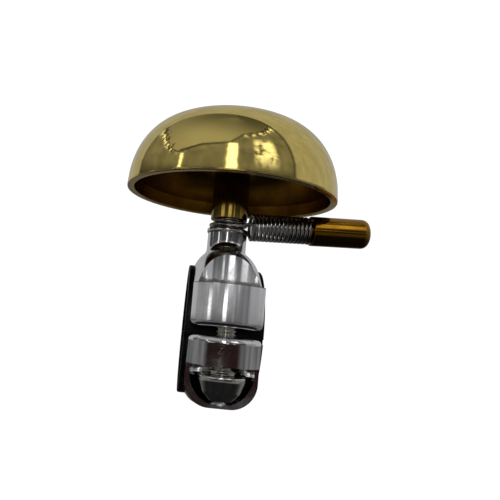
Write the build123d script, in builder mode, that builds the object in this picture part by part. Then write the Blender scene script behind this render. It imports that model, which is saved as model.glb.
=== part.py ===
"""Bicycle bell: brass dome on a brass post, sprung brass striker, hinged aluminium bar clamp.

Frame: origin at the centre of the handlebar bore, X along the handlebar, Z up the post,
-Y towards the rider's side where the clamp ears and the clamp bolt are. Millimetres.
"""

import os
from math import cos, pi, radians, sin, tan

from build123d import *

os.makedirs("parts", exist_ok=True)

# ---------------------------------------------------------------- driving dimensions
bar_r = 11.1                # handlebar, 22.2 mm across
liner_t = 2.0               # rubber liner wall
liner_r = bar_r + liner_t
liner_w = 15.0              # liner length along the bar

clamp_w = 13.4              # aluminium clamp width
bore_r = liner_r + 0.05
ring_r = 15.2               # outside of the clamp ring
front_y = -15.5             # flat front of the clamp body
roof_z = 17.3               # top of the clamp body under the neck
roof_front_z = 12.4         # top of the clamp body at its front
belly_tilt = 6.0            # underside slope, degrees
side_round = 6.2            # crown on the upper half's sides
belly_round = 4.8           # crown on the lower half's sides
split_gap = 1.5             # gap between the two clamp halves

ear_r = clamp_w / 2         # half-round ears, as wide as the clamp
ear_top = 8.6
ear_bottom = -5.9
ear_edge = 1.1
ear_root_y = -11.6
pocket_r = 6.4              # milled pockets above and below the ears
pocket_y = -17.9
pocket_low_z = -7.3         # middle of the lower pocket's ball end

bolt_y = -16.2
bolt_r = 2.0                # M4
bolt_pitch = 0.7
head_r = 3.7                # low button head, sunk in the upper ear
head_h = 2.1
head_seat = 6.4
bolt_end = -9.8
nut_r = 4.4                 # domed nut under the lower ear
nut_top = -7.6
nut_bottom = -12.2
nut_bore_r = 2.04
nut_rise = 1.5              # how far the nut climbs when the clamp is tightened
lock_ring_r = 2.4           # slim lock ring on top of the domed nut
lock_ring_h = 0.8

hinge_y = 16.5
knuckle_r = 2.6
pin_r = 1.25
knuckle_w = 6.0             # middle knuckle

neck_r = 4.15
neck_fillet = 2.0
neck_top = 20.4
washer_top = 21.55          # rounded washer under the spring rings
post_r = 3.9
post_bottom = 23.45

dome_r = 22.5
dome_h = 17.5
dome_wall = 1.5
rim_z = 28.5
dome_top = rim_z + dome_h
side_power = 3.2            # squareness of the dome's side
crown_power = 2.15

wire_r = 0.4                # spring wire
ring_turn_r = 3.75          # wire turns round the post
coil_r = 2.6               # striker coil
coil_pitch = 0.89
coil_turns = 13.5
striker_root = (5.4, -1.2, 22.36)
striker_tilt = 3.7          # degrees, tip up
striker_turn = 7.0          # degrees, tip away from the rider
hammer_r = 3.2
hammer_len = 13.1


def finish(builder, label):
    """Name the finished piece and write its STEP file."""
    builder.part.label = label
    export_step(builder.part, f"parts/{label}.step")


def dome_line(radius, height, steps=14):
    """Points of the bell's meridian from the rim to the crown."""
    points = []
    for i in range(steps + 1):
        angle = pi / 2 * (i / steps) ** 0.8
        across = radius * max(cos(angle), 0.0) ** (2 / side_power)
        up = height * sin(angle) ** (2 / crown_power)
        points.append((across, rim_z + up))
    points[-1] = (0, rim_z + height)
    return points


def thread_profile(radius, low, high, pitch, depth):
    """Zigzag outline of a threaded rod, as (radius, height) points."""
    points = [(0, low), (radius - depth, low)]
    count = int((high - low) / pitch)
    for i in range(count):
        points.append((radius, low + (i + 0.5) * pitch))
        points.append((radius - depth, low + (i + 1) * pitch))
    points += [(radius - depth, high), (0, high)]
    return points


# ---------------------------------------------------------------- dome and its fixing
seat_r, seat_depth = 4.3, 0.45
screw_head_r, screw_head_t = 3.5, 0.75
top_washer_t = 0.3
screw_seat_z = dome_top - seat_depth + top_washer_t
screw_end_z = 14.8

with BuildPart() as dome:
    with BuildSketch(Plane.XZ):
        with BuildLine():
            Spline(dome_line(dome_r, dome_h), tangents=[(0, 1), (-1, 0)])
            Line((0, dome_top), (0, dome_top - dome_wall))
            Spline(dome_line(dome_r - dome_wall, dome_h - dome_wall),
                   tangents=[(0, 1), (-1, 0)])
            Line((dome_r - dome_wall, rim_z), (dome_r, rim_z))
        make_face()
    revolve(axis=Axis.Z)
    with BuildSketch(Plane.XY.offset(dome_top - seat_depth)):
        Circle(seat_r)
    extrude(amount=2, mode=Mode.SUBTRACT)
    with BuildSketch(Plane.XY.offset(dome_top - 5)):
        Circle(3.1)
    extrude(amount=8, mode=Mode.SUBTRACT)
    rim_edges = dome.edges().filter_by(GeomType.CIRCLE).group_by(Axis.Z)[0]
    chamfer(rim_edges, 0.25)
finish(dome, "dome")

bush_flange = 1.0
with BuildPart() as dome_bush:
    under_dome = dome_top - dome_wall - 0.03
    with BuildSketch(Plane.XY.offset(under_dome - bush_flange)):
        Circle(5.0)
    extrude(amount=bush_flange - 0.05)
    with BuildSketch(Plane.XY.offset(under_dome - bush_flange)):
        Circle(3.05)
    extrude(amount=bush_flange + dome_wall - seat_depth - 0.02)
    with Locations((0, 0, under_dome - bush_flange)):
        Hole(radius=2.05)
finish(dome_bush, "dome_bush")

with BuildPart() as top_washer:
    with BuildSketch(Plane.XY.offset(dome_top - seat_depth + 0.01)):
        Circle(4.1)
        Circle(2.1, mode=Mode.SUBTRACT)
    extrude(amount=top_washer_t - 0.02)
finish(top_washer, "top_washer")

with BuildPart() as dome_screw:
    with BuildSketch(Plane.XY.offset(screw_end_z)):
        Circle(1.98)
    extrude(amount=screw_seat_z - screw_end_z)
    with BuildSketch(Plane.XY.offset(screw_seat_z)):
        Circle(screw_head_r)
    extrude(amount=screw_head_t)
    fillet(dome_screw.edges().group_by(Axis.Z)[-1], 0.45)
    with BuildSketch(Plane.XY.offset(screw_seat_z + screw_head_t)):
        RegularPolygon(radius=1.25, side_count=6, major_radius=False)
    extrude(amount=-2.2, mode=Mode.SUBTRACT)
    chamfer(dome_screw.edges().group_by(Axis.Z)[0], 0.4)
finish(dome_screw, "dome_screw")

# ---------------------------------------------------------------- post and striker swivel
with BuildPart() as post:
    with BuildSketch(Plane.XY.offset(post_bottom)):
        Circle(post_r)
        Circle(2.1, mode=Mode.SUBTRACT)
    extrude(amount=under_dome - bush_flange - 0.02 - post_bottom)
    foot_edges = post.edges().filter_by(GeomType.CIRCLE).group_by(Axis.Z)[0]
    chamfer(foot_edges.sort_by(SortBy.RADIUS)[-1:], 0.2)
finish(post, "post")

with BuildPart() as swivel_spacer:
    with BuildSketch(Plane.XY.offset(washer_top + 0.01)):
        Circle(3.3)
        Circle(2.1, mode=Mode.SUBTRACT)
    extrude(amount=post_bottom - washer_top - 0.02)
finish(swivel_spacer, "swivel_spacer")

with BuildPart() as swivel_washer:
    with BuildSketch(Plane.XY.offset(neck_top + 0.01)):
        Circle(4.5)
        Circle(2.1, mode=Mode.SUBTRACT)
    extrude(amount=washer_top - neck_top - 0.01)
    fillet(swivel_washer.edges().filter_by(GeomType.CIRCLE).filter_by(
        lambda edge: edge.radius > 4), 0.4)
finish(swivel_washer, "swivel_washer")

# ---------------------------------------------------------------- striker
ring_pitch = 0.84
ring_low_z = washer_top + 0.06 + wire_r
striker_dir = (
    cos(radians(striker_tilt)) * cos(radians(striker_turn)),
    cos(radians(striker_tilt)) * sin(radians(striker_turn)),
    sin(radians(striker_tilt)),
)
striker_frame = Plane(origin=striker_root, x_dir=(sin(radians(striker_turn)),
                      -cos(radians(striker_turn)), 0), z_dir=striker_dir)
coil_len = coil_turns * coil_pitch


def wire_run(path):
    """Round wire swept along a path."""
    with BuildPart() as run:
        with BuildSketch(Plane(origin=path @ 0, z_dir=path % 0)):
            Circle(wire_r)
        sweep(path=path, is_frenet=True)
    return run.part


ring_path = Helix(pitch=ring_pitch, height=ring_pitch * 1.15, radius=ring_turn_r,
                  center=(0, 0, ring_low_z), lefthand=True).rotate(Axis.Z, -90)
coil_path = Helix(pitch=coil_pitch, height=coil_len, radius=coil_r)
coil_path = striker_frame.location * coil_path
hook_start = ring_path @ 0
hook_end = coil_path @ 0
hook_path = Spline(
    [hook_start, (3.4, -3.95, ring_low_z + 0.2), hook_end],
    tangents=[-(ring_path % 0), coil_path % 0],
)

with BuildPart() as striker_spring:
    add(wire_run(ring_path))
    add(wire_run(coil_path))
    add(wire_run(hook_path))
    with Locations(hook_start, hook_end):
        Sphere(wire_r)
finish(striker_spring, "striker_spring")

hammer_start = coil_len + wire_r + 0.06
spigot_len = 5.2
with BuildPart() as hammer:
    with BuildSketch(striker_frame.offset(hammer_start)):
        Circle(hammer_r)
    extrude(amount=hammer_len)
    tip = hammer.edges().filter_by(GeomType.CIRCLE).sort_by(Axis.X)[-1]
    fillet(tip, 2.3)
    root = hammer.edges().filter_by(GeomType.CIRCLE).sort_by(Axis.X)[0]
    chamfer(root, 0.25)
    with BuildSketch(striker_frame.offset(hammer_start - spigot_len)):
        Circle(coil_r - wire_r - 0.05)
    extrude(amount=spigot_len + 0.5)
finish(hammer, "hammer")

# ---------------------------------------------------------------- clamp body, both halves
def clamp_block(crown):
    """Solid outer form of the whole clamp, before it is split and bored."""
    tilt = radians(belly_tilt)
    tangent_point = (-ring_r * sin(tilt), -ring_r * cos(tilt))
    front_low = (front_y, -ring_r * cos(tilt) + (-front_y - ring_r * sin(tilt)) * tan(tilt))
    with BuildPart() as block:
        with BuildSketch(Plane.YZ):
            with BuildLine():
                TangentArc((0, roof_z), (front_y, roof_front_z), tangent=(-1, 0))
                Line((front_y, roof_front_z), front_low)
                Line(front_low, tangent_point)
                CenterArc((0, 0), ring_r, 270 - belly_tilt, 90 + belly_tilt)
                EllipticalCenterArc((0, 0), ring_r, roof_z, start_angle=0, arc_size=90)
            make_face()
        extrude(amount=clamp_w / 2, both=True)
        side_edges = [
            edge
            for face in block.faces().filter_by(Axis.X)
            for edge in face.edges()
            if not (edge.geom_type == GeomType.LINE and abs(edge.tangent_at(0.5).Z) > 0.9)
        ]
        fillet(side_edges, crown)
    return block.part


def is_neck_foot(edge):
    """True for the line where the round neck meets the roof of the clamp body."""
    spot = edge.position_at(0.3)
    on_neck = abs((spot.X**2 + spot.Y**2) ** 0.5 - neck_r) < 0.02
    return on_neck and spot.Z < neck_top - 1


def ear(low, high, round_at):
    """Half-round ear round the clamp bolt, with its edge at one height rounded over."""
    with BuildPart() as lug:
        with BuildSketch(Plane.XY.offset(low)):
            with Locations((0, front_y)):
                Circle(ear_r)
            with Locations((0, (front_y + ear_root_y) / 2)):
                Rectangle(2 * ear_r, ear_root_y - front_y)
        extrude(amount=high - low)
        rim = lug.edges().filter_by_position(Axis.Z, round_at, round_at)
        fillet([edge for edge in rim if edge.center().Y < ear_root_y - 0.1], ear_edge)
    return lug.part


def ear_room(low, high):
    """Space in front of the ring where the ear takes the body's place."""
    with Locations((0, ear_root_y - 10, (low + high) / 2)):
        Box(60, 20, high - low, mode=Mode.SUBTRACT)


knuckle_gap = 0.15
half_gap = split_gap / 2
knuckle_clear_r = knuckle_r + 0.25

with BuildPart() as clamp_upper:
    add(clamp_block(side_round))
    with BuildSketch(Plane.XY.offset(roof_z - 2.5)):
        Circle(neck_r)
    extrude(amount=neck_top - roof_z + 2.5)
    fillet(clamp_upper.edges().filter_by(is_neck_foot), neck_fillet)
    with BuildSketch(Plane.XY.offset(half_gap)):
        Rectangle(60, 60)
    extrude(amount=-40, mode=Mode.SUBTRACT)
    with BuildSketch(Plane.XY.offset(ear_top)):
        with Locations((0, pocket_y)):
            Circle(pocket_r)
    extrude(amount=20, mode=Mode.SUBTRACT)
    ear_room(half_gap, half_gap + 3)
    add(ear(half_gap, ear_top, half_gap))
    with Locations((0, hinge_y, 0)):
        Cylinder(knuckle_r, clamp_w - 1.2, rotation=(0, 90, 0))
        Cylinder(knuckle_clear_r, knuckle_w + 2 * knuckle_gap, rotation=(0, 90, 0),
                 mode=Mode.SUBTRACT)
    Cylinder(bore_r, 40, rotation=(0, 90, 0), mode=Mode.SUBTRACT)
    with Locations((0, hinge_y, 0)):
        Cylinder(pin_r + 0.02, 40, rotation=(0, 90, 0), mode=Mode.SUBTRACT)
    with BuildSketch(Plane.XY.offset(half_gap)):
        with Locations((0, bolt_y)):
            Circle(bolt_r + 0.05)
    extrude(amount=ear_top - half_gap, mode=Mode.SUBTRACT)
    with BuildSketch(Plane.XY.offset(head_seat)):
        with Locations((0, bolt_y)):
            Circle(head_r + 0.15)
    extrude(amount=ear_top - head_seat, mode=Mode.SUBTRACT)
    with BuildSketch(Plane.XY.offset(neck_top)):
        Circle(2.0)
    extrude(amount=-10, mode=Mode.SUBTRACT)
finish(clamp_upper, "clamp_upper")

with BuildPart() as clamp_lower:
    add(clamp_block(belly_round))
    with BuildSketch(Plane.XY.offset(-half_gap)):
        Rectangle(60, 60)
    extrude(amount=40, mode=Mode.SUBTRACT)
    with Locations((0, pocket_y, pocket_low_z)):
        Sphere(pocket_r, mode=Mode.SUBTRACT)
    with BuildSketch(Plane.XY.offset(pocket_low_z)):
        with Locations((0, pocket_y)):
            Circle(pocket_r)
    extrude(amount=ear_bottom - pocket_low_z, mode=Mode.SUBTRACT)
    ear_room(-half_gap - 3, -half_gap)
    add(ear(ear_bottom, -half_gap, -half_gap))
    with Locations((0, hinge_y, 0)):
        Cylinder(knuckle_r, knuckle_w, rotation=(0, 90, 0))
    with Locations((knuckle_w, hinge_y, 0), (-knuckle_w, hinge_y, 0)):
        Cylinder(knuckle_clear_r, knuckle_w, rotation=(0, 90, 0), mode=Mode.SUBTRACT)
    Cylinder(bore_r, 40, rotation=(0, 90, 0), mode=Mode.SUBTRACT)
    with Locations((0, hinge_y, 0)):
        Cylinder(pin_r + 0.05, 40, rotation=(0, 90, 0), mode=Mode.SUBTRACT)
    with BuildSketch(Plane.XY.offset(-half_gap)):
        with Locations((0, bolt_y)):
            SlotCenterToCenter(0.9, 2 * bolt_r + 0.5, rotation=90)
    extrude(amount=-6, mode=Mode.SUBTRACT)
finish(clamp_lower, "clamp_lower")

with BuildPart() as hinge_pin:
    with BuildSketch(Plane.YZ):
        with Locations((hinge_y, 0)):
            Circle(pin_r)
    extrude(amount=clamp_w / 2 - 0.4, both=True)
    chamfer(hinge_pin.edges().filter_by(GeomType.CIRCLE), 0.2)
finish(hinge_pin, "hinge_pin")

with BuildPart() as hinge_shims:
    for side in (-1, 1):
        with BuildSketch(Plane.YZ.offset(side * (knuckle_w / 2 + knuckle_gap / 2) - 0.05)):
            with Locations((hinge_y, 0)):
                Circle(knuckle_r - 0.2)
                Circle(pin_r + 0.03, mode=Mode.SUBTRACT)
        extrude(amount=0.1)
finish(hinge_shims, "hinge_shims")

# ---------------------------------------------------------------- clamp bolt and its nut
bolt_axis = Axis((0, bolt_y, 0), (0, 0, 1))
bolt_plane = Plane.XZ.offset(-bolt_y)

with BuildPart() as clamp_bolt:
    with BuildSketch(bolt_plane):
        with BuildLine():
            Line((0, head_seat), (head_r, head_seat))
            Line((head_r, head_seat), (head_r, head_seat + 0.5))
            ThreePointArc((head_r, head_seat + 0.5), (2.9, head_seat + 1.65),
                          (1.9, head_seat + head_h))
            Line((1.9, head_seat + head_h), (0, head_seat + head_h))
            Line((0, head_seat + head_h), (0, head_seat))
        make_face()
    revolve(axis=bolt_axis)
    with BuildSketch(bolt_plane):
        with BuildLine():
            Polyline(*thread_profile(bolt_r - 0.02, bolt_end, head_seat, bolt_pitch, 0.3),
                     close=True)
        make_face()
    revolve(axis=bolt_axis)
    with BuildSketch(Plane.XY.offset(head_seat + head_h)):
        with Locations((0, bolt_y)):
            RegularPolygon(radius=1.25, side_count=6, major_radius=False)
    extrude(amount=-1.6, mode=Mode.SUBTRACT)
finish(clamp_bolt, "clamp_bolt")

with BuildPart() as domed_nut:
    with BuildSketch(bolt_plane):
        with BuildLine():
            Line((0, nut_bottom), (2.2, nut_bottom + 0.1))
            ThreePointArc((2.2, nut_bottom + 0.1), (3.6, nut_bottom + 1.5),
                          (nut_r, nut_bottom + 3.75))
            Line((nut_r, nut_bottom + 3.75), (nut_r, nut_top - 0.7))
            ThreePointArc((nut_r, nut_top - 0.7), (nut_r - 0.2, nut_top - 0.2),
                          (nut_r - 0.7, nut_top))
            Polyline((nut_r - 0.7, nut_top), (0, nut_top), (0, nut_bottom))
        make_face()
    revolve(axis=bolt_axis)
    with BuildSketch(Plane.XY.offset(nut_top)):
        with Locations((0, bolt_y)):
            Circle(nut_bore_r)
    extrude(amount=bolt_end - nut_rise - 0.15 - nut_top, mode=Mode.SUBTRACT)
finish(domed_nut, "domed_nut")

with BuildPart() as lock_ring:
    with BuildSketch(Plane.XY.offset(nut_top + 0.02)):
        with Locations((0, bolt_y)):
            Circle(lock_ring_r)
            Circle(nut_bore_r, mode=Mode.SUBTRACT)
    extrude(amount=lock_ring_h)
    chamfer(lock_ring.edges().filter_by(GeomType.CIRCLE).filter_by(
        lambda edge: edge.radius > nut_bore_r + 0.1), 0.1)
finish(lock_ring, "lock_ring")

# ---------------------------------------------------------------- rubber liner halves
liner_gap = 1.0
lap_r = bar_r + 1.0         # the halves overlap: their outer and inner layers part at different heights
lap_drop = 0.75
lap_gap = 0.95


def liner_layer(inner_r, outer_r, side, cut):
    """One layer of a liner half, above (side 1) or below (side -1) the height cut."""
    with BuildPart() as layer:
        with BuildSketch(Plane.YZ):
            Circle(outer_r)
            Circle(inner_r, mode=Mode.SUBTRACT)
        extrude(amount=liner_w / 2, both=True)
        if outer_r > lap_r + 0.5:
            fillet(layer.edges().filter_by(GeomType.CIRCLE).filter_by(
                lambda edge: edge.radius > outer_r - 0.1), 0.35)
        with BuildSketch(Plane.YZ):
            with Locations((0, cut - side * 20)):
                Rectangle(60, 40)
        extrude(amount=liner_w, both=True, mode=Mode.SUBTRACT)
    return layer.part


with BuildPart() as liner_upper:
    add(liner_layer(lap_r, liner_r, 1, -lap_drop))
    add(liner_layer(bar_r, lap_r, 1, liner_gap / 2))
finish(liner_upper, "liner_upper")

with BuildPart() as liner_lower:
    add(liner_layer(lap_r + 0.1, liner_r, -1, -lap_drop - lap_gap))
    add(liner_layer(bar_r, lap_r - 0.1, -1, -liner_gap / 2))
    add(liner_layer(lap_r - 0.1, lap_r + 0.1, -1, -lap_drop - lap_gap))
finish(liner_lower, "liner_lower")
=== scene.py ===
"""Bicycle bell: the looks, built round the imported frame. Metres, in the same frame as the CAD."""

from math import acos, atan2, cos, pi, radians, sin, sqrt

import bmesh
import bpy
from mathutils import Matrix, Vector


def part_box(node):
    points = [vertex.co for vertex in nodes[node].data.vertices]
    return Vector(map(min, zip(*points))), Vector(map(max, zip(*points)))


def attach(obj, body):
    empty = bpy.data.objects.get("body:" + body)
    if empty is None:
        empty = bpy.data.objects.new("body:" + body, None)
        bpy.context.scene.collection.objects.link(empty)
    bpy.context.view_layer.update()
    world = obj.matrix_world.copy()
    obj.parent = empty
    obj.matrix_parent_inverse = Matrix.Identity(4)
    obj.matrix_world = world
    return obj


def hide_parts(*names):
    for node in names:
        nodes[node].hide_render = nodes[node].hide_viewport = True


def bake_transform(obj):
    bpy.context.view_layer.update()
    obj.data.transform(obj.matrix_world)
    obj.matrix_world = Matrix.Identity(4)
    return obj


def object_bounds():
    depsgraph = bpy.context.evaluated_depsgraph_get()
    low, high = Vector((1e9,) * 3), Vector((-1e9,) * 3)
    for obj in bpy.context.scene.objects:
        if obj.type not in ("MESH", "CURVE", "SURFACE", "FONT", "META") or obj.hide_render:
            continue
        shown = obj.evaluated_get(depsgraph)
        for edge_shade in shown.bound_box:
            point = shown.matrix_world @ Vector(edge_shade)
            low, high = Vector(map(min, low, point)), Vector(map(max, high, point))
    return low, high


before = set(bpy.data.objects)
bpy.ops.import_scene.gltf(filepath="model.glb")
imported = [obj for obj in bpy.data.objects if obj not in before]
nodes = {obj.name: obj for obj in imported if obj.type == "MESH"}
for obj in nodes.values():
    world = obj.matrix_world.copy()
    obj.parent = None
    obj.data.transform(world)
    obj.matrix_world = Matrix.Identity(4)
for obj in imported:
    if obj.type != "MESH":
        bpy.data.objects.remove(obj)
cad_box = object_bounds()
mm = 0.001


# ---------------------------------------------------------------- camera
def make_camera():
    """Close view from the front and a little below, with the sensor shifted for the framing."""
    place = Vector((-10.18, -122.18, 1.0)) * mm
    yaw, pitch, roll = 0.0224, 0.1502, 0.1011
    ahead = Vector((sin(yaw) * cos(pitch), cos(yaw) * cos(pitch), sin(pitch)))
    level = Vector((cos(yaw), -sin(yaw), 0))
    upright = level.cross(ahead)
    right = level * cos(roll) + upright * sin(roll)
    up = upright * cos(roll) - level * sin(roll)
    data = bpy.data.cameras.new("camera")
    data.lens = 41.55
    data.shift_x = 0.1148
    data.shift_y = -0.0288
    data.clip_start = 0.002
    camera = bpy.data.objects.new("camera", data)
    bpy.context.scene.collection.objects.link(camera)
    turn = Matrix((right, up, -ahead)).transposed().to_4x4()
    camera.matrix_world = Matrix.Translation(place) @ turn
    bpy.context.scene.camera = camera


make_camera()


# ---------------------------------------------------------------- node helpers
class Nodes:
    """Short ways to add and join the nodes of one material or of the world."""

    def __init__(self, tree, keep=False):
        self.tree = tree
        if not keep:
            self.tree.nodes.clear()

    def add(self, kind, settings=None, **inputs):
        """Add a node. Inputs are values or sockets, by the input's name with _ for a space."""
        node = self.tree.nodes.new("ShaderNode" + kind)
        for key, value in (settings or {}).items():
            setattr(node, key, value)
        for key, value in inputs.items():
            self.put(node, key.replace("_", " "), value)
        return node

    def put(self, node, name, value):
        """Set an input, or join a socket to it. Name may be a number."""
        socket = node.inputs[int(name)] if str(name).isdigit() else node.inputs[name]
        if isinstance(value, bpy.types.NodeSocket):
            self.tree.links.new(value, socket)
        else:
            socket.default_value = value

    def math(self, operation, a, b=None, clamp=False):
        """Arithmetic on one or two values."""
        node = self.add("Math", {"operation": operation, "use_clamp": clamp})
        self.put(node, 0, a)
        if b is not None:
            self.put(node, 1, b)
        return node.outputs[0]

    def ramp(self, value, low, high, out_low=0.0, out_high=1.0):
        """Smooth step of value from low to high."""
        node = self.add("MapRange", {"interpolation_type": "SMOOTHSTEP"})
        for i, item in enumerate((value, low, high, out_low, out_high)):
            self.put(node, i, item)
        return node.outputs[0]

    def mix(self, factor, a, b):
        """Mix two colours."""
        node = self.add("Mix", {"data_type": "RGBA"})
        self.put(node, 0, factor)
        self.put(node, 6, a)
        self.put(node, 7, b)
        return node.outputs[2]


def grey(value):
    """The same value for red, green and blue."""
    return (value, value, value, 1)


# ---------------------------------------------------------------- studio
def make_world():
    """Studio surroundings painted by direction: pale paper behind, a grey room in front, dark below.

    Directions are in degrees, turn from the front toward +X and height above the horizon."""
    # where the far wall meets the ceiling: height at the left, then how far each stretch climbs
    line_start, line_first = 43.0, (-112, -72, -13.0)
    line_climbs = ((-72, -45, 10.0), (-45, -13, 5.0), (-13, 4, 12.0), (4, 75, 11.0))
    # windows: left, right, low, high, softness of the sides, brightness
    windows = (
        (-19, -9, 1.1, 3.0, 1.6, 2.8),
        (-70, -59, 1.1, 2.8, 2.0, 2.0),
        (10, 15, 1.8, 2.9, 2.0, 0.9),
        (-11, 8, 4.8, 7.2, 1.5, 2.2),
        (-57, -36, 4.8, 7.2, 3.0, 1.7),
        (22, 28, 4.8, 7.0, 2.0, 1.4),
        (-9, -3, 7.2, 10, 1.0, 1.8),
        (-59, -53, 7.2, 10, 1.0, 1.2),
        (-20, -14, 10.3, 14, 1.2, 0.6),
        (-101, -95, 9, 14, 1.5, 0.45),
        (-13, -2, 16, 44, 1.2, 2.4),
        (-66, -62, 16, 27, 1.0, 1.6),
    )
    window_ends = 0.7
    paper_side = (0.51, 0.857, -0.073)
    dark_warm = (0.016, 0.0075, 0.0065, 1)

    world = bpy.data.worlds.new("studio")
    bpy.context.scene.world = world
    world.use_nodes = True
    n = Nodes(world.node_tree)
    place = n.add("TexCoord").outputs["Generated"]
    split = n.add("SeparateXYZ", Vector=place)
    x, y, z = split.outputs
    turn = n.math("MULTIPLY", n.math("ARCTAN2", x, n.math("MULTIPLY", y, -1.0)), 180 / pi)
    height = n.math("MULTIPLY", n.math("ARCSINE", z), 180 / pi)

    def box(left, right, low, high, soft, soft_up=None, over=turn):
        """1 inside a box of directions, in degrees of turn from the front and of height."""
        soft_up = soft if soft_up is None else soft_up
        across = n.math("MULTIPLY", n.ramp(over, left - soft, left + soft),
                        n.ramp(over, right - soft, right + soft, 1.0, 0.0))
        upward = n.math("MULTIPLY", n.ramp(height, low - soft_up, low + soft_up),
                        n.ramp(height, high - soft_up, high + soft_up, 1.0, 0.0))
        return n.math("MULTIPLY", across, upward)

    def slope(left, right, rise):
        """Straight climb by rise between two turns, level outside them."""
        node = n.add("MapRange")
        for i, item in enumerate((turn, left, right, 0.0, rise)):
            n.put(node, i, item)
        return node.outputs[0]

    # the far wall's top line: a shallow V to the left, then a climb, rough at its two ends
    line = n.math("ADD", slope(*line_first), line_start)
    for left, right, rise in line_climbs:
        line = n.math("ADD", line, slope(left, right, rise))
    uneven = n.add("TexNoise", Vector=place, Scale=16.0, Detail=3.0, Roughness=0.6).outputs["Fac"]
    rough_ends = n.math("ADD", n.ramp(turn, -78.0, -68.0, 1.0, 0.06), n.ramp(turn, 2.0, 12.0, 0.0, 0.9))
    jag = n.math("MULTIPLY", n.math("SUBTRACT", uneven, 0.5), 20.0)
    line = n.math("ADD", line, n.math("MULTIPLY", jag, rough_ends))
    above_line = n.math("SUBTRACT", height, line)

    # ceiling: brightest low on the left, dimmer overhead
    ceiling = n.math("MULTIPLY", n.ramp(height, 48.0, 80.0, 1.0, 0.46),
                     n.ramp(turn, -25.0, 55.0, 0.40, 0.20))
    ceiling = n.math("MULTIPLY", ceiling, n.ramp(turn, -130.0, -50.0, 0.62, 1.0))
    # wall: pale low down, then dark, then middling
    wall = n.ramp(height, 3.6, 8.0, 0.27, 0.045)
    wall = n.math("ADD", wall, n.ramp(height, 14.5, 22.0, 0.0, 0.15))
    soft_patches = n.add("TexNoise", Vector=place, Scale=5.0, Detail=4.0, Roughness=0.6).outputs["Fac"]
    wall = n.math("MULTIPLY", wall, n.ramp(soft_patches, 0.3, 0.7, 0.75, 1.25))
    room = n.mix(n.ramp(above_line, -1.0, 1.0), wall, ceiling)
    edge = n.math("MULTIPLY", n.ramp(above_line, -2.4, -0.4), n.ramp(above_line, 0.0, 1.8, 1.0, 0.0))
    room = n.mix(n.math("MULTIPLY", edge, 0.9), room, grey(0.015))
    glints = n.math("MULTIPLY", n.ramp(uneven, 0.50, 0.56), rough_ends)
    gap = n.math("MULTIPLY", n.ramp(above_line, -7.0, -4.0), n.ramp(above_line, -3.0, -1.5, 1.0, 0.0))
    room = n.mix(n.math("MULTIPLY", glints, gap), room, grey(1.3))
    # pale paper behind and to the right
    side = n.add("VectorMath", {"operation": "DOT_PRODUCT"})
    n.put(side, 0, place)
    n.put(side, 1, paper_side)
    behind = n.ramp(side.outputs["Value"], 0.03, 0.09)
    mottled = n.ramp(n.add("TexNoise", Vector=place, Scale=7.0, Detail=6.0,
                           Roughness=0.7).outputs["Fac"], 0.35, 0.7, 0.36, 0.46)
    frame_line = n.math("MULTIPLY", n.ramp(side.outputs["Value"], -0.02, 0.03),
                        n.ramp(side.outputs["Value"], 0.03, 0.07, 1.0, 0.0))
    room = n.mix(n.math("MULTIPLY", frame_line, n.ramp(turn, -20.0, 60.0, 0.15, 0.75)), room, grey(0.04))
    sky = n.mix(behind, room, mottled)
    # something dark stands low on the right
    sky = n.mix(box(46, 108, 7.6, 14.5, 4.0, 0.8), sky, grey(0.03))
    # the windows' sides waver a little
    waver = n.math("ADD", turn, n.math("MULTIPLY", n.math("SUBTRACT", uneven, 0.5), 5.0))
    for left, right, low, high, soft, strength in windows:
        sky = n.mix(box(left, right, low, high, soft, window_ends, over=waver), sky, grey(strength))
    cloudy = n.add("TexNoise", Vector=place, Scale=7.0, Detail=5.0, Roughness=0.65).outputs["Fac"]
    patchy = n.math("MULTIPLY", box(19, 43, 24, 49, 4.5), n.ramp(cloudy, 0.36, 0.56))
    sky = n.mix(patchy, sky, grey(1.7))
    # below the horizon: a dark warm band in front, grey to the sides, nearly black straight down
    low_side = n.math("MULTIPLY", n.ramp(height, -34.0, -20.0, 0.07, 1.0),
                      n.ramp(soft_patches, 0.35, 0.65, 0.09, 0.19))
    front = n.math("MULTIPLY", n.ramp(turn, -78.0, -54.0), n.ramp(turn, 33.0, 66.0, 1.0, 0.0))
    front = n.math("MULTIPLY", front, n.ramp(height, -12.0, -7.5))
    ground = n.mix(front, low_side, dark_warm)
    colour = n.mix(n.ramp(height, 0.2, 1.1), ground, sky)
    n.add("OutputWorld", Surface=n.add("Background", Color=colour).outputs[0])


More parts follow.
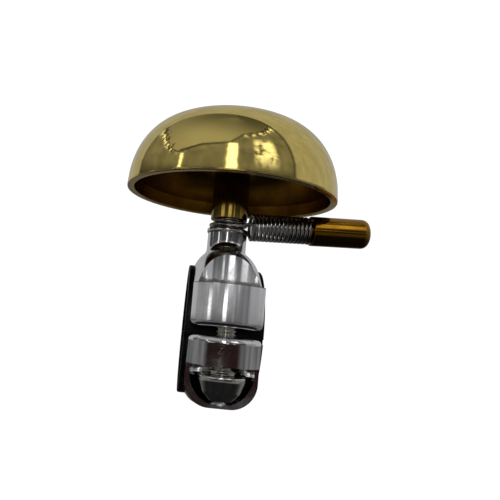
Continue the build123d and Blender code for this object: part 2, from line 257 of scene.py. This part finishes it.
def make_stage():
    """Pale floor well below the bell, a pale backdrop seen only by the camera, and soft lights."""
    floor_drop, floor_r, backdrop_r = 0.075, 4.0, 3.9
    fade_from, fade_to, glow_strength = 0.09, 0.2, 1.05
    low = cad_box[0].z - floor_drop
    mesh = bpy.data.meshes.new("floor")
    work = bmesh.new()
    bmesh.ops.create_circle(work, cap_ends=True, radius=floor_r, segments=96,
                            matrix=Matrix.Translation((0, 0, low)))
    work.to_mesh(mesh)
    floor = bpy.data.objects.new("floor", mesh)
    mesh = bpy.data.meshes.new("backdrop")
    work = bmesh.new()
    bmesh.ops.create_uvsphere(work, u_segments=64, v_segments=32, radius=backdrop_r)
    work.to_mesh(mesh)
    backdrop = bpy.data.objects.new("backdrop", mesh)
    for piece in (floor, backdrop):
        bpy.context.scene.collection.objects.link(piece)
        piece.visible_glossy = False
        piece.visible_transmission = False
    backdrop.visible_diffuse = False
    backdrop.visible_shadow = False

    paper = bpy.data.materials.new("paper")
    paper.use_nodes = True
    n = Nodes(paper.node_tree)
    place = n.add("TexCoord").outputs["Object"]
    grain = n.add("TexNoise", Vector=place, Scale=220.0, Detail=4.0).outputs["Fac"]
    shade = n.mix(grain, grey(0.86), grey(0.90))
    bump = n.add("Bump", Strength=0.05, Distance=0.0002, Height=grain)
    body = n.add("BsdfPrincipled", Base_Color=shade, Roughness=0.9, Normal=bump.outputs[0])
    reach = n.add("VectorMath", {"operation": "LENGTH"}, Vector=place)
    faded = n.ramp(reach.outputs["Value"], fade_from, fade_to)
    pale = n.add("Emission", Color=grey(1.0), Strength=glow_strength)
    both = n.add("MixShader")
    for i, item in enumerate((faded, body.outputs[0], pale.outputs[0])):
        n.put(both, i, item)
    n.add("OutputMaterial", Surface=both.outputs[0])
    floor.data.materials.append(paper)

    glow = bpy.data.materials.new("backdrop_glow")
    glow.use_nodes = True
    n = Nodes(glow.node_tree)
    shine = n.add("Emission", Color=grey(1.0), Strength=glow_strength)
    n.add("OutputMaterial", Surface=shine.outputs[0])
    backdrop.data.materials.append(glow)

    def lamp(name, place, size, power):
        """Square soft light aimed at the bell, not seen in reflections."""
        data = bpy.data.lights.new(name, "AREA")
        data.shape = "SQUARE"
        data.size = size
        data.energy = power
        light = bpy.data.objects.new(name, data)
        light.location = place
        light.rotation_mode = "QUATERNION"
        light.rotation_quaternion = Vector(place).to_track_quat("Z", "Y")
        light.visible_glossy = False
        bpy.context.scene.collection.objects.link(light)

    lamp("top_soft", (0.1, 0.1, 1.3), size=1.2, power=26)
    lamp("front_soft", (-0.5, -1.0, 0.9), size=0.8, power=9)


make_world()
make_stage()


# ---------------------------------------------------------------- materials
def material(name):
    """A new material and its emptied nodes."""
    made = bpy.data.materials.new(name)
    made.use_nodes = True
    return made, Nodes(made.node_tree)


def polished(name, colour, shade, rough, wear=0.05, scratch=0.06, spin=None, ripple=0.0):
    """Polished metal: slight cloudiness, fine polishing marks and, with spin, faint turned rings.

    colour is the clean metal and shade the same metal where it is a little dull."""
    made, n = material(name)
    place = n.add("TexCoord").outputs["Object"]
    cloud = n.add("TexNoise", Vector=place, Scale=130.0, Detail=3.0, Roughness=0.55).outputs["Fac"]
    cloud = n.ramp(cloud, 0.42, 0.68)
    stretch = n.add("Mapping", Vector=place, Scale=(260.0, 260.0, 2600.0)).outputs[0]
    marks = n.add("TexNoise", Vector=stretch, Scale=1.0, Detail=5.0, Roughness=0.7).outputs["Fac"]
    specks = n.add("TexNoise", Vector=place, Scale=2400.0, Detail=2.0).outputs["Fac"]
    tone = n.mix(n.math("MULTIPLY", cloud, wear * 6, clamp=True), (*colour, 1), (*shade, 1))
    dull = n.math("MULTIPLY", cloud, wear)
    fine = n.math("MULTIPLY", n.ramp(specks, 0.55, 0.75), 0.04)
    roughness = n.math("ADD", n.math("ADD", dull, fine), rough)
    height = n.math("MULTIPLY", marks, scratch)
    if spin is not None:
        split = n.add("SeparateXYZ", Vector=place)
        flat = n.add("CombineXYZ", X=split.outputs[0], Y=split.outputs[1], Z=0.0)
        reach = n.add("VectorMath", {"operation": "LENGTH"}, Vector=flat.outputs[0])
        rings = n.add("TexNoise", {"noise_dimensions": "1D"},
                      W=n.math("MULTIPLY", reach.outputs["Value"], spin), Scale=1.0, Detail=4.0)
        height = n.math("ADD", height, n.math("MULTIPLY", rings.outputs["Fac"], scratch))
    if ripple:
        wave = n.add("TexNoise", Vector=place, Scale=70.0, Detail=1.0).outputs["Fac"]
        height = n.math("ADD", height, n.math("MULTIPLY", wave, ripple))
    bump = n.add("Bump", Strength=0.35, Distance=0.00002, Height=height)
    body = n.add("BsdfPrincipled", Base_Color=tone, Metallic=1.0, Roughness=roughness,
                 Normal=bump.outputs[0])
    n.add("OutputMaterial", Surface=body.outputs[0])
    return made


def clamp_metal():
    """Polished aluminium, rougher and darkened by painted shade in a narrow band at the foot of the
    upper pocket, with a thin dark line of painted shade along the upper ear's top edge in place of a
    chamfer."""
    pocket_y, pocket_reach = -0.0179, (0.00642, 0.00648)
    band_foot, band_top, band_grit = (0.00855, 0.00865), (0.0094, 0.0099), 0.0012
    line_foot, line_top, line_front = (0.00835, 0.00848), (0.00858, 0.00866), (-0.0121, -0.0118)
    # painted shade: the two greys that darken the band at the foot of the upper pocket
    band_shade_dark, band_shade_pale = (0.34, 0.34, 0.33, 1), (0.62, 0.62, 0.60, 1)
    # colour of the thin line of painted shade along the upper ear's top edge
    edge_shade_colour = (0.12, 0.09, 0.08, 1)
    made = polished("clamp_metal", (0.90, 0.90, 0.91), (0.80, 0.81, 0.84), 0.07, 0.10, 0.12, ripple=0.5)
    tree = made.node_tree
    body = next(node for node in tree.nodes if node.type == "BSDF_PRINCIPLED")
    tone = body.inputs["Base Color"].links[0].from_socket
    smooth = body.inputs["Roughness"].links[0].from_socket
    n = Nodes(tree, keep=True)
    place = n.add("TexCoord").outputs["Object"]
    split = n.add("SeparateXYZ", Vector=place)
    x, y, z = split.outputs
    away = n.math("ADD", y, -pocket_y)
    reach = n.math("SQRT", n.math("ADD", n.math("MULTIPLY", x, x), n.math("MULTIPLY", away, away)))
    grit = n.add("TexNoise", Vector=place, Scale=900.0, Detail=4.0).outputs["Fac"]
    top_of_band = n.math("ADD", z, n.math("MULTIPLY", n.math("SUBTRACT", grit, 0.5), band_grit))
    band = n.math("MULTIPLY", n.ramp(z, *band_foot), n.ramp(top_of_band, *band_top, 1.0, 0.0))
    band = n.math("MULTIPLY", band, n.ramp(reach, *pocket_reach, 1.0, 0.0))
    # thin line of painted shade along the upper ear's top edge, standing in for a chamfer
    edge_shade = n.math("MULTIPLY", n.ramp(z, *line_foot), n.ramp(z, *line_top, 1.0, 0.0))
    edge_shade = n.math("MULTIPLY", edge_shade, n.ramp(y, *line_front, 1.0, 0.0))
    # the band's darker colour is painted shade; its added roughness below is the surface's own
    tone = n.mix(band, tone, n.mix(grit, band_shade_dark, band_shade_pale))
    # darken the upper ear's top edge with the painted shade line
    tone = n.mix(n.math("MULTIPLY", edge_shade, 0.8), tone, edge_shade_colour)
    n.put(body, "Base Color", tone)
    n.put(body, "Roughness", n.math("ADD", smooth, n.math("MULTIPLY", band, 0.22)))
    return made


def rubber(name):
    """Black rubber: fine moulded grain with a few paler scuffs."""
    made, n = material(name)
    place = n.add("TexCoord").outputs["Object"]
    grain = n.add("TexNoise", Vector=place, Scale=3200.0, Detail=3.0).outputs["Fac"]
    cloud = n.add("TexNoise", Vector=place, Scale=240.0, Detail=3.0).outputs["Fac"]
    tone = n.mix(n.ramp(cloud, 0.5, 0.75), (0.0012, 0.0012, 0.0015, 1), (0.004, 0.004, 0.0045, 1))
    roughness = n.ramp(cloud, 0.35, 0.75, 0.36, 0.55)
    bump = n.add("Bump", Strength=0.4, Distance=0.00003, Height=grain)
    body = n.add("BsdfPrincipled", Base_Color=tone, Roughness=roughness, Specular_IOR_Level=0.12,
                 Normal=bump.outputs[0])
    n.add("OutputMaterial", Surface=body.outputs[0])
    return made


def nylon(name):
    """Natural nylon: milky, slightly uneven."""
    made, n = material(name)
    place = n.add("TexCoord").outputs["Object"]
    cloud = n.add("TexNoise", Vector=place, Scale=500.0, Detail=3.0).outputs["Fac"]
    tone = n.mix(cloud, (0.74, 0.72, 0.66, 1), (0.82, 0.80, 0.74, 1))
    bump = n.add("Bump", Strength=0.2, Distance=0.00002, Height=cloud)
    body = n.add("BsdfPrincipled", Base_Color=tone, Roughness=0.45, Normal=bump.outputs[0])
    n.add("OutputMaterial", Surface=body.outputs[0])
    return made


looks = {
    "brass": polished("brass", (0.86, 0.68, 0.21), (0.78, 0.60, 0.19), 0.035, 0.06, 0.05,
                      ripple=0.3),
    # inside of the dome: the same brass darkened by painted shade, with faint turned rings
    "brass_inside_painted_shade": polished("brass_inside_painted_shade", (0.24, 0.115, 0.012), (0.18, 0.08, 0.008), 0.20, 0.12,
                             0.5, spin=2500.0),
    # post: brass darkened by painted shade, as it stands in the dome's shade
    "brass_post_painted_shade": polished("brass_post_painted_shade", (0.27, 0.18, 0.04), (0.18, 0.11, 0.02), 0.07, 0.06, 0.4),
    "brass_rim": polished("brass_rim", (0.80, 0.60, 0.20), (0.70, 0.50, 0.15), 0.14, 0.08, 0.3,
                          spin=4000.0),
    # hammer: amber brass, darkened further by painted shade
    "amber_brass": polished("amber_brass", (0.34, 0.165, 0.012), (0.26, 0.12, 0.01), 0.12, 0.08, 0.3),
    "amber_dull": polished("amber_dull", (0.46, 0.27, 0.05), (0.36, 0.20, 0.03), 0.34, 0.10, 0.6),
    "nickel": polished("nickel", (0.74, 0.72, 0.66), (0.64, 0.62, 0.55), 0.10, 0.10, 0.15),
    "clamp_metal": clamp_metal(),
    "nut_metal": polished("nut_metal", (0.92, 0.91, 0.89), (0.84, 0.83, 0.80), 0.09, 0.10, 0.3),
    "steel": polished("steel", (0.60, 0.58, 0.54), (0.48, 0.46, 0.42), 0.20, 0.12, 0.3),
    "spring_wire": polished("spring_wire", (0.50, 0.49, 0.47), (0.34, 0.33, 0.31), 0.13, 0.08, 0.2),
    "liner": rubber("liner"),
    "nylon": nylon("nylon"),
}


# ---------------------------------------------------------------- mesh helpers
def link(name, work, *slots, sharp=34):
    """Turn a bmesh into an object with smooth faces, and sharp edges where it folds by more degrees."""
    for edge in work.edges:
        faces = edge.link_faces
        edge.smooth = len(faces) != 2 or edge.calc_face_angle(0) < radians(sharp)
    for face in work.faces:
        face.smooth = True
    mesh = bpy.data.meshes.new(name)
    work.to_mesh(mesh)
    work.free()
    for slot in slots:
        mesh.materials.append(looks[slot])
    piece = bpy.data.objects.new(name, mesh)
    bpy.context.scene.collection.objects.link(piece)
    return piece


def rounded(points, radius, steps=5):
    """Round the inner corners of an outline. Points are (radius, height) or (radius, height, r)."""
    out = [points[0][:2]]
    for before, here, after in zip(points, points[1:], points[2:]):
        r = here[2] if len(here) > 2 else radius
        p, a, b = Vector(here[:2]), Vector(before[:2]), Vector(after[:2])
        to_a, to_b = a - p, b - p
        angle = acos(max(-1, min(1, to_a.normalized().dot(to_b.normalized()))))
        if r <= 0 or angle > radians(170):
            out.append(tuple(p))
            continue
        reach = min(r / max(sin(angle / 2), 1e-6) * cos(angle / 2), to_a.length * 0.49,
                    to_b.length * 0.49)
        start, end = p + to_a.normalized() * reach, p + to_b.normalized() * reach
        for i in range(steps + 1):
            t = i / steps
            spot = start * (1 - t) ** 2 + p * 2 * t * (1 - t) + end * t * t
            out.append(tuple(spot))
    out.append(points[-1][:2])
    return out


def spun(work, outline, steps=144, frame_of=Matrix.Identity(4), shape=None, slot_of=None):
    """Spin an outline of (radius, height) in mm round the frame's Z axis.

    shape(i, turn) scales the radius of outline point i, for hexagons and flutes."""
    rings = []
    for i, (r, h) in enumerate(outline):
        if r < 1e-6:
            rings.append([work.verts.new(frame_of @ (Vector((0, 0, h)) * mm))])
            continue
        ring = []
        for k in range(steps):
            turn = 2 * pi * k / steps
            scale = shape(i, turn) if shape else 1.0
            spot = Vector((r * scale * cos(turn), r * scale * sin(turn), h)) * mm
            ring.append(work.verts.new(frame_of @ spot))
        rings.append(ring)
    for i, (a, b) in enumerate(zip(rings, rings[1:])):
        for k in range(steps):
            m = (k + 1) % steps
            if len(a) == 1 and len(b) == 1:
                continue
            if len(a) == 1:
                corners = (a[0], b[m], b[k])
            elif len(b) == 1:
                corners = (a[k], a[m], b[0])
            else:
                corners = (a[k], a[m], b[m], b[k])
            face = work.faces.new(corners)
            face.material_index = slot_of(i) if slot_of else 0
    bmesh.ops.recalc_face_normals(work, faces=work.faces)
    return rings


def hexagon(turn):
    """Radius of a hexagon over the radius of the circle inside it."""
    return 1 / cos((turn + pi / 6) % (pi / 3) - pi / 6)


def tube(work, line, radius, sides=16):
    """Round wire along a list of points in mm, with rounded ends."""
    # how far beyond the line's end each ring of the rounded end lies, and how wide it is
    end_rings = ((0.45, 0.89), (0.8, 0.6), (0.98, 0.2))
    points = [Vector(p) for p in line]
    count = len(points)
    ahead = [(points[min(i + 1, count - 1)] - points[max(i - 1, 0)]).normalized()
             for i in range(count)]
    side = ahead[0].orthogonal().normalized()
    rings = []

    def ring(centre, direction, side, r):
        """One circle of the wire's surface, square to its direction."""
        other = direction.cross(side)
        return [work.verts.new((centre + (side * cos(2 * pi * k / sides)
                                          + other * sin(2 * pi * k / sides)) * r) * mm)
                for k in range(sides)]

    for i, (point, direction) in enumerate(zip(points, ahead)):
        side = (side - direction * side.dot(direction)).normalized()
        if i == 0:
            for back, r in end_rings[::-1]:
                rings.append(ring(point - direction * radius * back, direction, side, radius * r))
        rings.append(ring(point, direction, side, radius))
        if i == count - 1:
            for on, r in end_rings:
                rings.append(ring(point + direction * radius * on, direction, side, radius * r))
    for a, b in zip(rings, rings[1:]):
        for k in range(sides):
            m = (k + 1) % sides
            work.faces.new((a[k], a[m], b[m], b[k]))
    work.faces.new(rings[0][::-1])
    work.faces.new(rings[-1])
    bmesh.ops.recalc_face_normals(work, faces=work.faces)


# ---------------------------------------------------------------- sizes, mm
low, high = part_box("dome")
dome_r = (high.x - low.x) / 2 / mm
rim_z = low.z / mm
dome_h, dome_wall = 17.5, 1.5
dome_top = rim_z + dome_h
side_power, crown_power = 3.2, 2.15
rim_angle, dome_sides = 0.16, 224
seat_r, seat_edge, seat_depth, dome_hole = 4.3, 0.12, 0.45, 3.1

# the trims are how much thinner the wire and shorter the hammer are drawn than in the CAD
wire_r, wire_trim = 0.4, 0.025
ring_turn_r, ring_pitch = 3.75, 0.84
coil_r, coil_pitch, coil_turns = 2.6, 0.89, 13.5
striker_root = Vector((5.4, -1.2, 22.36))
striker_tilt, striker_turn = radians(3.7), radians(7.0)
hammer_r, hammer_len, hammer_trim = 3.2, 13.1, 0.11
hammer_start = coil_turns * coil_pitch + wire_r + 0.06

along = Vector((cos(striker_tilt) * cos(striker_turn), cos(striker_tilt) * sin(striker_turn),
                sin(striker_tilt)))
across = Vector((sin(striker_turn), -cos(striker_turn), 0))
striker_frame = Matrix((across, along.cross(across), along)).transposed().to_4x4()
striker_frame.translation = striker_root * mm


# ---------------------------------------------------------------- dome
def bell_line(radius, height, start, stop, steps):
    """Meridian of the bell between two angles from the rim."""
    points = []
    for i in range(steps + 1):
        angle = start + (stop - start) * i / steps
        points.append((radius * max(cos(angle), 0.0) ** (2 / side_power),
                       rim_z + height * max(sin(angle), 0.0) ** (2 / crown_power)))
    return points


def make_dome():
    """Thin dome in three looks, outside, inside and rim lip, with a shallow seat and a hole on top."""
    def angle_at(radius, r):
        """Angle from the rim at which the meridian is r wide."""
        return acos((r / radius) ** (side_power / 2))

    inner_r, inner_h = dome_r - dome_wall, dome_h - dome_wall
    outside = bell_line(dome_r, dome_h, rim_angle, angle_at(dome_r, seat_r + seat_edge), 72)
    inside = bell_line(inner_r, inner_h, angle_at(inner_r, dome_hole), rim_angle, 56)
    seat_z = dome_top - seat_depth
    edge = [(dome_r, rim_z + 0.5), (dome_r, rim_z, 0.3), (inner_r, rim_z, 0.3),
            (inner_r, rim_z + 0.5)]
    crown = [(seat_r + seat_edge, outside[-1][1] - 0.02), (seat_r, seat_z + 0.3), (seat_r, seat_z, 0.06),
             (dome_hole, seat_z, 0.1), (dome_hole, dome_top - dome_wall)]
    crown = rounded(crown, 0.08, 3)
    lip = rounded(edge, 0.3, 6)
    outline = inside + lip[::-1] + outside + crown
    first_lip, first_out = len(inside), len(inside) + len(lip)

    def slot_of(i):
        return 1 if i < first_lip - 1 else 2 if i < first_out - 1 else 0

    work = bmesh.new()
    rings = spun(work, outline, dome_sides, slot_of=slot_of)
    first, last = rings[0], rings[-1]
    for k in range(dome_sides):
        m = (k + 1) % dome_sides
        work.faces.new((last[k], last[m], first[m], first[k]))
    bmesh.ops.recalc_face_normals(work, faces=work.faces)
    piece = link("dome_shell", work, "brass", "brass_inside_painted_shade", "brass_rim")
    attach(piece, "clamp")
    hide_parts("dome")


make_dome()


# ---------------------------------------------------------------- post and striker
def make_post():
    """Plain tube with broken edges."""
    low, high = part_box("post")
    bore = 2.1
    r, foot, head = (high.x - low.x) / 2 / mm, low.z / mm, high.z / mm
    outline = rounded([(bore, head), (bore, foot, 0.1), (r, foot, 0.25), (r, head, 0.1), (bore, head)],
                      0.1, 5)
    work = bmesh.new()
    spun(work, outline, 128)
    bmesh.ops.remove_doubles(work, verts=work.verts, dist=1e-7)
    piece = link("post_tube", work, "brass_post_painted_shade")
    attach(piece, "clamp")
    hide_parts("post")


def make_hammer():
    """Turned barrel with a spigot inside the coil and a dull rounded cap."""
    tip = hammer_start + hammer_len - hammer_trim
    spigot, spigot_end = coil_r - wire_r - 0.05, hammer_start - 5.2
    cap = 2.4
    outline = rounded([(0, spigot_end), (spigot, spigot_end, 0.2),
                       (spigot, hammer_start, 0.05), (hammer_r, hammer_start, 0.28),
                       (hammer_r, tip, cap), (0, tip)], 0.1, 9)
    cap_from = next(i for i, (r, h) in enumerate(outline) if h > tip - cap - 0.01)
    work = bmesh.new()
    spun(work, outline, 128, striker_frame, slot_of=lambda i: 1 if i >= cap_from else 0)
    piece = link("hammer_barrel", work, "amber_brass", "amber_dull")
    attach(piece, "hammer")
    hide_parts("hammer")


def make_spring():
    """One wire: turns round the post, a bend out, then the close-wound striker coil."""
    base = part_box("swivel_washer")[1].z / mm + 0.06 + wire_r
    turns = 1.15
    ring = []
    for i in range(65):
        t = turns * i / 64
        turn = -pi / 2 - 2 * pi * t
        ring.append(Vector((ring_turn_r * cos(turn), ring_turn_r * sin(turn), base + ring_pitch * t)))
    coil = []
    lead_in, lead_pitch = 1.0, 0.76
    steps = int((lead_in + coil_turns) * 32)
    for i in range(steps + 1):
        t = (lead_in + coil_turns) * i / steps - lead_in
        rise = t * (coil_pitch if t > 0 else lead_pitch)
        local = Vector((coil_r * cos(2 * pi * t), coil_r * sin(2 * pi * t), rise)) * mm
        coil.append((striker_frame @ local) / mm)
    start, end = ring[0], coil[0]
    middle = Vector((2.7, -3.95, base + 0.15))
    start_pull = (ring[0] - ring[1]).normalized()
    end_pull = (coil[1] - coil[0]).normalized()
    mid_pull = (end - start).normalized()

    def bend(a, pull_a, b, pull_b, steps):
        """Points of a smooth curve between a and b, without the ends."""
        reach = (b - a).length
        out = []
        for i in range(1, steps):
            t = i / steps
            out.append(a * (2 * t**3 - 3 * t**2 + 1) + pull_a * reach * (t**3 - 2 * t**2 + t)
                       + b * (3 * t**2 - 2 * t**3) + pull_b * reach * (t**3 - t**2))
        return out

    line = ring[::-1] + bend(start, start_pull, middle, mid_pull, 12) + [middle]
    line += bend(middle, mid_pull, end, end_pull, 12) + coil
    work = bmesh.new()
    tube(work, line, wire_r - wire_trim, 18)
    piece = link("spring_coil", work, "spring_wire", sharp=80)
    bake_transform(piece)
    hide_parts("striker_spring")


make_post()
make_hammer()
make_spring()


# ---------------------------------------------------------------- fasteners
bolt_y = -16.2
bolt_frame = Matrix.Translation((0, bolt_y * mm, 0))


def thread(work, frame_of, low, high, major, pitch=0.7, depth=0.34, steps=40):
    """Helical screw thread with rounded crests, fading out at both ends."""
    rows_per_turn, crest_gain, root_flat = 12, 1.35, 0.12
    rows = int((high - low) / pitch * rows_per_turn)
    rings = []
    for i in range(rows + 1):
        h = low + (high - low) * i / rows
        fade = min(1.0, (h - low) / pitch, (high - h) / pitch)
        ring = []
        for k in range(steps):
            turn = 2 * pi * k / steps
            phase = (h / pitch - k / steps) % 1.0
            flank = 1 - abs(2 * phase - 1)
            r = major - depth + depth * min(1.0, max(0.0, flank * crest_gain - root_flat)) * fade
            ring.append(work.verts.new(frame_of @ (Vector((r * cos(turn), r * sin(turn), h)) * mm)))
        rings.append(ring)
    for a, b in zip(rings, rings[1:]):
        for k in range(steps):
            m = (k + 1) % steps
            work.faces.new((a[k], a[m], b[m], b[k]))
    work.faces.new(rings[0][::-1])
    work.faces.new(rings[-1])


def socket_head(work, frame_of, outline, key, top, depth, steps=120):
    """Turned screw head whose middle is sunk to a hexagon socket with a drilled floor."""
    last = len(outline)
    drill_r, drill_point = 0.6, 0.3
    well = [(key, top), (key, top - depth), (drill_r, top - depth), (0, top - depth - drill_point)]

    def shape(i, turn):
        """Hexagon for the socket's two rings, round elsewhere."""
        if i < last or i > last + 1:
            return 1.0
        return hexagon(turn)

    spun(work, outline + well, steps, frame_of, shape)


def make_clamp_bolt():
    """Button head with a socket, and a helical thread down to the nut."""
    foot, top, head_r = 6.4, 8.5, 3.68
    socket_r, socket_depth = 1.25, 1.5
    thread_end, thread_r = -9.78, 1.97
    work = bmesh.new()
    outline = rounded([(0, foot), (head_r, foot, 0.08), (head_r, foot + 0.45, 0.12),
                       (3.3, foot + 1.25, 0.8), (2.5, foot + 1.85, 0.8), (1.85, top, 0.1),
                       (1.5, top)], 0.1, 5)
    socket_head(work, bolt_frame, outline, socket_r, top, socket_depth)
    thread(work, bolt_frame, thread_end, foot + 0.1, thread_r)
    bmesh.ops.recalc_face_normals(work, faces=work.faces)
    piece = link("bolt_threaded", work, "nickel", sharp=40)
    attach(piece, "bolt")
    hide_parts("clamp_bolt")


def make_dome_screw():
    """Flat round head with a socket on the crown, with its thread inside the post."""
    low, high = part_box("dome_screw")
    foot, top, head_r = high.z / mm - 0.75, high.z / mm - 0.01, 3.48
    socket_r, socket_depth, thread_r = 1.25, 1.9, 1.96
    centred = Matrix.Identity(4)
    work = bmesh.new()
    outline = rounded([(0, foot), (head_r, foot, 0.05), (head_r, top - 0.4, 0.25), (3.05, top, 0.35),
                       (1.5, top)], 0.1, 6)
    socket_head(work, centred, outline, socket_r, top, socket_depth)
    thread(work, centred, low.z / mm + 0.02, foot + 0.1, thread_r)
    bmesh.ops.recalc_face_normals(work, faces=work.faces)
    piece = link("crown_screw", work, "steel", sharp=40)
    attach(piece, "clamp")
    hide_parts("dome_screw")


def make_nut():
    """Domed nut with rounded shoulders and a blind bore."""
    low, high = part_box("domed_nut")
    foot, top = low.z / mm + 0.01, high.z / mm - 0.01
    bore_r, bore_end = 2.06, -11.5
    outline = rounded([(0, foot), (2.1, foot + 0.08, 0.3), (3.5, foot + 1.45, 1.6),
                       (4.36, foot + 3.7, 1.2), (4.38, top, 0.75), (bore_r, top, 0.12),
                       (bore_r, bore_end, 0.1), (0, bore_end)], 0.1, 9)
    work = bmesh.new()
    spun(work, outline, 144, bolt_frame)
    piece = link("barrel_nut", work, "nut_metal")
    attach(piece, "nut")
    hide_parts("domed_nut")


def make_ring(name, node, body, look, outer, inner, round_by, frame_of=Matrix.Identity(4)):
    """Flat or rounded ring in the place of a CAD ring."""
    low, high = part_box(node)
    foot, top = low.z / mm, high.z / mm
    outline = rounded([(inner, top - 0.02), (inner, foot, 0.05), (outer, foot, round_by),
                       (outer, top, round_by), (inner, top, 0.05), (inner, top - 0.02)], 0.1, 6)
    work = bmesh.new()
    spun(work, outline, 120, frame_of)
    bmesh.ops.remove_doubles(work, verts=work.verts, dist=1e-8)
    piece = link(name, work, look)
    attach(piece, body)
    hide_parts(node)


make_clamp_bolt()
make_dome_screw()
make_nut()
make_ring("slim_ring", "lock_ring", "nut", "nickel", outer=2.39, inner=2.06, round_by=0.16,
          frame_of=bolt_frame)
make_ring("bead_washer", "swivel_washer", "clamp", "nickel", outer=4.42, inner=2.12, round_by=0.5)
make_ring("crown_washer", "top_washer", "clamp", "steel", outer=4.09, inner=2.12, round_by=0.1)


# ---------------------------------------------------------------- carried-over CAD pieces
for node, look in (
    ("clamp_upper", "clamp_metal"), ("clamp_lower", "clamp_metal"), ("liner_upper", "liner"),
    ("liner_lower", "liner"), ("hinge_pin", "steel"), ("hinge_shims", "nylon"),
    ("swivel_spacer", "steel"), ("dome_bush", "nylon"),
):
    mesh = nodes[node].data
    mesh.materials.clear()
    mesh.materials.append(looks[look])

bpy.context.scene.view_settings.view_transform = "Standard"
